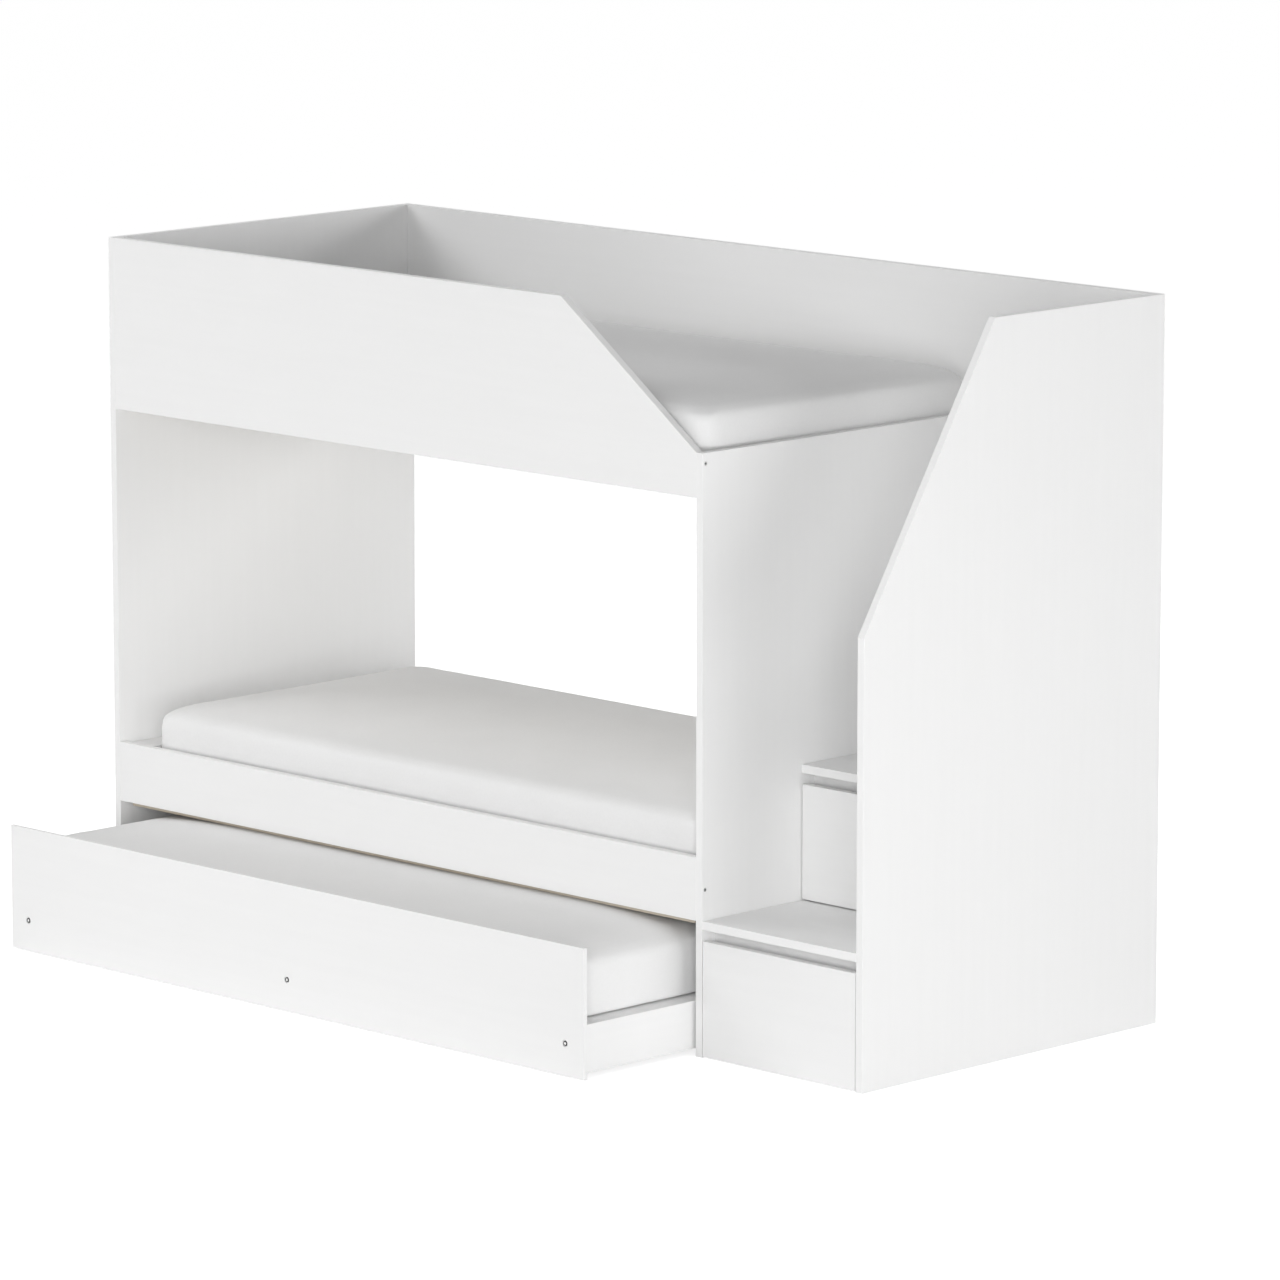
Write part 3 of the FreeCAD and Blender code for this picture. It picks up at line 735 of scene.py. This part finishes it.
@dataclass(frozen=True)
class HeadedFastener:
    """Round-headed bolt or screw with a hexagon socket, its head towards negative X."""

    head: float
    head_depth: float
    dome: float
    shank: float
    length: float
    socket: float
    socket_depth: float
    dome_bend: tuple[float, float] = (0.35, 0.3)
    tip_taper: tuple[float, float] = (0.4, 0.2)
    socket_inset: float = 0.4
    socket_reach: float = 0.55
    steps: int = 36

    def shape(self) -> bmesh.types.BMesh:
        """Build one fastener along X, the face of its head at zero."""
        work = bmesh.new()
        edge = self.head / 2
        rim = edge - self.dome
        profile = (
            (0.0, rim),
            (self.dome * self.dome_bend[0], edge - self.dome * self.dome_bend[1]),
            (self.dome, edge),
            (self.head_depth, edge),
            (self.head_depth, self.shank / 2),
            (self.length - self.shank * self.tip_taper[0], self.shank / 2),
            (self.length, self.shank * self.tip_taper[1]),
        )
        spin_profile(work, profile, self.steps)
        loops = [side for side in work.edges if side.is_boundary]
        made = bmesh.ops.holes_fill(work, edges=loops, sides=0)["faces"]
        face = min(made, key=lambda f: f.calc_center_median().x)
        self._sink_socket(work, face, rim)
        bmesh.ops.recalc_face_normals(work, faces=work.faces)
        # The middle of the head and its socket take the second finish and the rest the first, so
        # painted shade and a painted highlight fall on the head.
        for face in work.faces:
            centre = face.calc_center_median()
            near_axis = math.hypot(centre.y, centre.z) < self.socket * self.socket_reach
            face.material_index = int(near_axis and centre.x < self.head_depth)
        return work

    def _sink_socket(self, work: bmesh.types.BMesh, face: bmesh.types.BMFace, rim: float) -> None:
        """Inset the head's face to a hexagon and push it in.

        Args:
            work: The fastener's bmesh.
            face: The face of the head.
            rim: Radius of that face.
        """
        inset = rim * self.socket_inset
        bmesh.ops.inset_region(work, faces=[face], thickness=inset, use_even_offset=True)
        for vert in face.verts:
            angle = math.atan2(vert.co.z, vert.co.y)
            sector = (angle % (math.pi / 3)) - math.pi / 6
            reach = self.socket / 2 / math.cos(sector)
            vert.co.y = reach * math.cos(angle)
            vert.co.z = reach * math.sin(angle)
        pushed = bmesh.ops.extrude_face_region(work, geom=[face])["geom"]
        sunk = [item for item in pushed if isinstance(item, bmesh.types.BMVert)]
        bmesh.ops.delete(work, geom=[face], context="FACES_ONLY")
        bmesh.ops.translate(work, verts=sunk, vec=(self.socket_depth, 0.0, 0.0))


def fasteners_at(
    name: str,
    kind: HeadedFastener,
    axis: Point,
    places: Sequence[Point],
    finishes: Sequence[Finish],
) -> bpy.types.Object:
    """Build one piece of several like fasteners.

    Args:
        name: The piece's name.
        kind: The fastener's sizes.
        axis: Direction from head to tip.
        places: Where the face of each head lies.
        finishes: The finish of the rest of each fastener, then of the middle of its head with the
            socket; these are zinc steel and its copies with painted shade or a painted highlight.

    Returns:
        The new piece.
    """
    whole = bmesh.new()
    for place in places:
        one = kind.shape()
        turn_and_move(one, axis, place)
        spare = bpy.data.meshes.new(name + "_part")
        one.to_mesh(spare)
        one.free()
        whole.from_mesh(spare)
        bpy.data.meshes.remove(spare)
    piece = place_piece(name, whole, finishes)
    soften(piece, FASTENER_CREASE)
    return piece


def soften(piece: bpy.types.Object, degrees: float) -> None:
    """Shade a piece smooth apart from edges sharper than an angle.

    Args:
        piece: The piece to shade.
        degrees: The sharpest smooth edge.
    """
    work = bmesh.new()
    work.from_mesh(piece.data)
    sharpest = math.radians(degrees)
    for edge in work.edges:
        edge.smooth = len(edge.link_faces) == 2 and edge.calc_face_angle(0.0) < sharpest
    work.to_mesh(piece.data)
    work.free()


# Sub-assemblies

def middle(node: str) -> Vector:
    """Return the middle of a CAD node's box."""
    low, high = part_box(node)
    return (low + high) / 2


@dataclass
class Carcass:
    """End panels, guards, rails and the screws through the inner panel."""

    upright: tuple[str, ...] = ("left_end_panel", "inner_end_panel", "outer_end_panel")
    lengthwise: tuple[str, ...] = (
        "front_guard", "back_guard", "lower_front_rail", "lower_back_rail"
    )
    screw: HeadedFastener = HeadedFastener(
        head=0.009, head_depth=0.0025, dome=0.0006,
        shank=0.005, length=0.059, socket=0.004, socket_depth=0.0016,
    )

    def build(self) -> None:
        """Dress the boards and make the screws."""
        dress_all(self.upright, WARDROBE.upright_board)
        dress_all(self.lengthwise, WARDROBE.long_board)
        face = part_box("inner_end_panel")[1].x
        low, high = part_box("frame_screws")
        half = self.screw.head / 2
        guard_line = high.z - half
        rail_line = low.z + half
        front, back = low.y + half, high.y - half
        places = [(face, front, guard_line), (face, front, rail_line), (face, back, rail_line)]
        # The sockets take the near-black steel, as painted shade.
        finishes = (WARDROBE.zinc, WARDROBE.painted_shade_steel)
        piece = fasteners_at("panel_screws", self.screw, (-1.0, 0.0, 0.0), places, finishes)
        seat_piece(piece, "bed_frame", "screw_steel", "frame_screws")


@dataclass
class SlatBases:
    """Raw ledgers, slats and the white ledge at the head of each bunk."""

    bunks: tuple[str, ...] = ("lower", "upper")

    def build(self) -> None:
        """Dress the woods of both bunks."""
        for bunk in self.bunks:
            dress_all((f"{bunk}_front_ledger", f"{bunk}_back_ledger"), WARDROBE.long_pine)
            dress(f"{bunk}_slats", WARDROBE.slat_pine)
            dress(f"{bunk}_head_ledge", WARDROBE.cross_board)


@dataclass
class DrawerStair:
    """Treads, back panel, drawers and their runners."""

    steps: tuple[int, ...] = (1, 2, 3)

    def build(self) -> None:
        """Dress every step with its drawer."""
        dress("stair_back_panel", WARDROBE.hardboard)
        for step in self.steps:
            dress(f"step_tread_{step}", WARDROBE.long_board)
            dress_all((f"drawer_{step}_front", f"drawer_{step}_back"), WARDROBE.long_board)
            sides = (f"drawer_{step}_left_side", f"drawer_{step}_right_side")
            dress_all(sides, WARDROBE.cross_board)
            dress(f"drawer_{step}_bottom", WARDROBE.hardboard)
            dress_all((f"drawer_{step}_channels", f"drawer_{step}_runners"), WARDROBE.powder)


@dataclass
class Trundle:
    """Trundle front, box, slats, glides and the bolts through its front."""

    boards: tuple[str, ...] = ("trundle_front", "trundle_box_front", "trundle_box_back")
    sides: tuple[str, ...] = ("trundle_left_side", "trundle_right_side")
    ledgers: tuple[str, ...] = ("trundle_front_ledger", "trundle_back_ledger")
    bolt: HeadedFastener = HeadedFastener(
        head=0.012, head_depth=0.003, dome=0.0016,
        shank=0.006, length=0.024, socket=0.006, socket_depth=0.0010,
    )

    def build(self) -> None:
        """Dress the box and make the bolts."""
        dress_all(self.boards, WARDROBE.long_board)
        dress_all((*self.sides, "trundle_slats"), WARDROBE.cross_board)
        dress_all(self.ledgers, WARDROBE.long_pine)
        dress("trundle_glides", WARDROBE.nylon)
        low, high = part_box("trundle_front_bolts")
        half = self.bolt.head / 2
        line = (low.z + high.z) / 2
        places = [(x, low.y, line) for x in (low.x + half, (low.x + high.x) / 2, high.x - half)]
        # The bolts' rims and rings take the near-black steel as painted shade, and the middle of
        # each head takes the brighter zinc as a painted highlight.
        finishes = (WARDROBE.painted_shade_steel, WARDROBE.painted_highlight_zinc)
        piece = fasteners_at("front_bolts", self.bolt, (0.0, 1.0, 0.0), places, finishes)
        seat_piece(piece, "trundle", "bolt_steel", "trundle_front_bolts")


@dataclass
class Casters:
    """Forks and axles, with a dished wheel and a rubber tread in each fork."""

    bore: float = 0.0081
    hub: float = 0.011
    dish: float = 0.0036
    rim: float = 0.0185
    tread: float = 0.0212
    shoulder: float = 0.0024
    chamfer: float = 0.001
    web_slope: float = 0.0015
    tread_rise: tuple[float, float] = (0.0004, 0.0008)
    shoulder_bend: tuple[float, float] = (0.5, 0.25)
    shoulder_run: float = 1.4
    steps: int = 56
    crease: float = 35.0

    def build(self) -> None:
        """Dress the forks and make the four wheels."""
        dress_all(("caster_forks", "caster_axles"), WARDROBE.zinc)
        for place in Place:
            self._wheel(place)

    def _wheel(self, place: Place) -> None:
        """Make one wheel where its CAD node is.

        Args:
            place: The corner of the trundle.
        """
        node = f"wheel_{place.value}"
        low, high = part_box(node)
        half = (high.x - low.x) / 2
        radius = (high.z - low.z) / 2
        web = half - self.dish
        bend_in, bend_down = (self.shoulder * share for share in self.shoulder_bend)
        rising = [
            (-half, self.bore / 2),
            (-half, self.hub - self.chamfer),
            (self.chamfer - half, self.hub),
            (-web, self.hub + self.web_slope),
            (-web, self.rim - self.web_slope),
            (self.chamfer - half, self.rim),
            (self.tread_rise[0] - half, self.tread),
            (self.tread_rise[1] - half, radius - self.shoulder),
            (bend_in - half, radius - bend_down),
            (self.shoulder * self.shoulder_run - half, radius),
        ]
        falling = [(-along, reach) for along, reach in reversed(rising)]
        work = bmesh.new()
        spin_profile(work, [*rising, *falling, rising[0]], self.steps)
        for face in work.faces:
            centre = face.calc_center_median()
            face.material_index = int(math.hypot(centre.y, centre.z) > self.tread)
        turn_and_move(work, X_AXIS, tuple(middle(node)))
        finishes = [WARDROBE.hub_plastic, WARDROBE.tread_rubber]
        piece = place_piece(f"caster_wheel_{place.value}", work, finishes)
        soften(piece, self.crease)
        seat_piece(piece, node, "wheel_plastic", node)


@dataclass
class Mattresses:
    """Three foam mattresses of one make, their covers filled out by a cloth simulation."""

    pattern: str = "lower_mattress"
    carried_by: dict[str, str] = field(
        default_factory=lambda: {
            "lower_mattress": "bed_frame",
            "upper_mattress": "bed_frame",
            "trundle_mattress": "trundle",
        }
    )
    voxel: float = 0.015
    slack_inset: float = 0.0010
    pressure: float = 4.0
    frames: int = 20
    cap: float = 0.0025
    foot: float = 0.018
    lift: float = 0.0004
    ripple: float = 0.0010
    ripple_length: float = 0.34
    ripple_step: Point = (3.7, 1.9, 0.0)
    cloth_quality: int = 5
    cloth_stretch: float = 0.004

    def build(self) -> None:
        """Make the cover once, then set a copy on each base."""
        cover = self._cover()
        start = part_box(self.pattern)[0]
        for number, (node, body) in enumerate(self.carried_by.items()):
            mesh = cover.copy()
            mesh.name = f"{node}_cover"
            mesh.transform(Matrix.Translation(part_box(node)[0] - start))
            self._settle(mesh, node, number)
            piece = bpy.data.objects.new(f"{node}_cover", mesh)
            bpy.context.scene.collection.objects.link(piece)
            mesh.materials.clear()
            mesh.materials.append(WARDROBE.get(WARDROBE.cotton))
            mesh.shade_smooth()
            rounding = piece.modifiers.new("rounding", "SUBSURF")
            rounding.levels = rounding.render_levels = 1
            seat_piece(piece, body, "mattress_cover", node)
            LOG.info("built %s with %d faces", piece.name, len(mesh.polygons))
        bpy.data.meshes.remove(cover)

    def _cover(self) -> bpy.types.Mesh:
        """Return the cover's mesh, filled out."""
        work = bmesh.new()
        work.from_mesh(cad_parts[self.pattern].data)
        bmesh.ops.remove_doubles(work, verts=work.verts, dist=CAD_WELD)
        bmesh.ops.recalc_face_normals(work, faces=work.faces)
        work.normal_update()
        for vert in work.verts:
            vert.co -= vert.normal * self.slack_inset
        mesh = bpy.data.meshes.new("cover_start")
        work.to_mesh(mesh)
        work.free()
        helper = bpy.data.objects.new("cover_helper", mesh)
        bpy.context.scene.collection.objects.link(helper)
        remesh = helper.modifiers.new("remesh", "REMESH")
        remesh.mode = "VOXEL"
        remesh.voxel_size = self.voxel
        helper.data = self._evaluated(helper)
        helper.modifiers.clear()
        self._fill_out(helper)
        cover = helper.data
        bpy.data.objects.remove(helper)
        bpy.data.meshes.remove(mesh)
        return cover

    def _fill_out(self, helper: bpy.types.Object) -> None:
        """Press the cover outwards from inside, then hold each point near where it began.

        Args:
            helper: The object that holds the cover's mesh.
        """
        rest = [vert.co.copy() for vert in helper.data.vertices]
        floor = min(point.z for point in rest)
        pinned = helper.vertex_groups.new(name="resting")
        resting = [i for i, point in enumerate(rest) if point.z < floor + self.foot]
        pinned.add(resting, 1.0, "REPLACE")
        cloth = helper.modifiers.new("cover", "CLOTH")
        cloth.settings.quality = self.cloth_quality
        cloth.settings.use_pressure = True
        cloth.settings.uniform_pressure_force = self.pressure
        cloth.settings.effector_weights.gravity = 0.0
        cloth.settings.vertex_group_mass = pinned.name
        cloth.settings.shrink_min = -self.cloth_stretch
        cloth.collision_settings.use_collision = False
        cloth.point_cache.frame_start = 1
        cloth.point_cache.frame_end = self.frames
        scene = bpy.context.scene
        for number in range(1, self.frames + 1):
            scene.frame_set(number)
        filled = self._evaluated(helper)
        for vert, point in zip(filled.vertices, rest):
            move = vert.co - point
            if move.length > self.cap:
                vert.co = point + move * (self.cap / move.length)
        scene.frame_set(1)
        helper.modifiers.clear()
        helper.data = filled

    def _settle(self, mesh: bpy.types.Mesh, node: str, number: int) -> None:
        """Lay the cover's underside flat and give its top slow, shallow ripples.

        Args:
            mesh: The cover's mesh, in place.
            node: The CAD node that it stands for.
            number: Which mattress it is, so that no two ripple alike.
        """
        low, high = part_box(node)
        shift = Vector(self.ripple_step) * number
        for vert in mesh.vertices:
            level = min(max((vert.co.z - low.z) / (high.z - low.z), 0.0), 1.0)
            wave = noise.noise(vert.co / self.ripple_length + shift)
            vert.co.z += self.ripple * wave * level
            vert.co.z = max(vert.co.z, low.z + self.lift)

    @staticmethod
    def _evaluated(holder: bpy.types.Object) -> bpy.types.Mesh:
        """Return a copy of an object's mesh with its modifiers applied."""
        bpy.context.view_layer.update()
        graph = bpy.context.evaluated_depsgraph_get()
        return bpy.data.meshes.new_from_object(holder.evaluated_get(graph))


# Studio

@dataclass(frozen=True)
class SoftBox:
    """An area lamp that looks at a point."""

    name: str
    position: Point
    target: Point
    width: float
    height: float
    power: float

    def build(self) -> None:
        """Set up the lamp, unseen by the camera."""
        lamp = bpy.data.lights.new(self.name, "AREA")
        lamp.shape = "RECTANGLE"
        lamp.size = self.width
        lamp.size_y = self.height
        lamp.energy = self.power
        holder = bpy.data.objects.new(self.name, lamp)
        bpy.context.scene.collection.objects.link(holder)
        holder.location = self.position
        look = Vector(self.target) - Vector(self.position)
        holder.rotation_euler = look.to_track_quat("-Z", "Y").to_euler()
        holder.visible_camera = False


@dataclass
class Studio:
    """Pale floor, soft lamps, white surround and the camera of the photograph."""

    overhead: float = 0.325
    overhead_lean: tuple[float, float] = (-0.185, -0.265)
    overhead_from: float = 0.15
    overhead_full: float = 0.40
    boxes: tuple[SoftBox, ...] = (
        SoftBox("corner_box", (7.0, -7.0, 1.6), (0.0, 0.0, 0.8), 4.0, 4.0, 392.0),
        SoftBox("right_strip", (5.8, -0.4, 0.5), (0.6, -0.2, 0.5), 3.0, 0.9, 70.0),
        SoftBox("front_strip", (-0.8, -3.3, 0.30), (-0.5, -0.6, 0.20), 3.2, 0.5, 14.5),
        SoftBox("left_box", (-4.5, -2.5, 4.5), (-0.2, 0.0, 0.8), 3.0, 3.0, 112.0),
        SoftBox("back_right_box", (4.5, 6.0, 1.0), (-0.5, 0.0, 0.9), 3.5, 3.5, 8.0),
        SoftBox("back_box", (0.8, 5.5, 2.6), (-0.4, 0.0, 0.7), 3.0, 2.0, 168.0),
    )
    floor_size: float = 120.0
    floor_colour: Colour = (0.86, 0.86, 0.86)
    floor_glow: float = 0.74
    camera_place: Point = (11.7286, -11.5271, 3.6999)
    camera_yaw: float = 44.93
    camera_pitch: float = 10.03
    sensor: float = 36.0
    focal_pixels: float = 7436.4
    frame_pixels: float = 1280.0
    nearest: float = 0.1
    farthest: float = 400.0

    def build(self) -> None:
        """Set up surround, floor, lamps and camera."""
        bpy.context.scene.view_settings.view_transform = "Standard"
        self._surround()
        self._floor()
        for box in self.boxes:
            box.build()
        self._camera()

    @staticmethod
    def _seen(sheet: NodeSheet) -> Socket:
        """Return 1 for rays that show the background itself, and 0 for light that it gives."""
        path = sheet.add("ShaderNodeLightPath").outputs
        shown = sheet.math("ADD", path["Is Camera Ray"], path["Is Glossy Ray"])
        return sheet.math("ADD", shown, path["Is Transmission Ray"], clamp=True)

    def _surround(self) -> None:
        """Make the surround white to look at, and a dome of light that leans front and left."""
        world = bpy.data.worlds.new("surround")
        bpy.context.scene.world = world
        world.use_nodes = True
        world.node_tree.nodes.clear()
        sheet = NodeSheet(world.node_tree)
        place = sheet.add("ShaderNodeTexCoord").outputs["Generated"]
        way = sheet.add("ShaderNodeSeparateXYZ", {0: place}).outputs
        band = sheet.ramp(way["Z"], self.overhead_from, self.overhead_full)
        level = sheet.math("MULTIPLY_ADD", way["X"], self.overhead_lean[0], self.overhead)
        level = sheet.math("MULTIPLY_ADD", way["Y"], self.overhead_lean[1], level)
        dome = sheet.math("MULTIPLY", band, sheet.math("MAXIMUM", level, 0.0))
        strength = sheet.math("MAXIMUM", dome, self._seen(sheet))
        inputs = {"Color": as_rgba(WHITE), "Strength": strength}
        light = sheet.add("ShaderNodeBackground", inputs)
        sheet.add("ShaderNodeOutputWorld", {"Surface": light.outputs[0]})

    def _floor(self) -> None:
        """Lay the floor, near white to look at, with the bed's shadow on it."""
        work = bmesh.new()
        bmesh.ops.create_grid(work, x_segments=1, y_segments=1, size=self.floor_size / 2)
        mesh = bpy.data.meshes.new("studio_floor")
        work.to_mesh(mesh)
        work.free()
        floor = bpy.data.objects.new("studio_floor", mesh)
        bpy.context.scene.collection.objects.link(floor)
        material = bpy.data.materials.new("studio_floor")
        material.use_nodes = True
        material.node_tree.nodes.clear()
        sheet = NodeSheet(material.node_tree)
        matt = sheet.add("ShaderNodeBsdfDiffuse", {"Color": as_rgba(self.floor_colour)})
        strength = sheet.math("MULTIPLY", self._seen(sheet), self.floor_glow)
        glow = sheet.add("ShaderNodeEmission", {"Color": as_rgba(WHITE), "Strength": strength})
        joined = sheet.add("ShaderNodeAddShader", {0: matt.outputs[0], 1: glow.outputs[0]})
        sheet.add("ShaderNodeOutputMaterial", {"Surface": joined.outputs[0]})
        mesh.materials.append(material)

    def _camera(self) -> None:
        """Put the camera where the photograph was taken from."""
        lens = bpy.data.cameras.new("photo_camera")
        lens.sensor_width = self.sensor
        lens.lens = self.focal_pixels / self.frame_pixels * self.sensor
        lens.clip_start = self.nearest
        lens.clip_end = self.farthest
        holder = bpy.data.objects.new("photo_camera", lens)
        bpy.context.scene.collection.objects.link(holder)
        holder.location = self.camera_place
        pitch = math.radians(90.0 - self.camera_pitch)
        holder.rotation_euler = (pitch, 0.0, math.radians(self.camera_yaw))
        bpy.context.scene.camera = holder


def main() -> None:
    """Build every sub-assembly in order, then the studio."""
    logging.basicConfig(level=logging.INFO, format="%(message)s")
    bed = (Carcass(), SlatBases(), DrawerStair(), Trundle(), Casters(), Mattresses())
    for part in (*bed, Studio()):
        LOG.info("building %s", type(part).__name__)
        part.build()


if __name__ == "__main__":
    main()
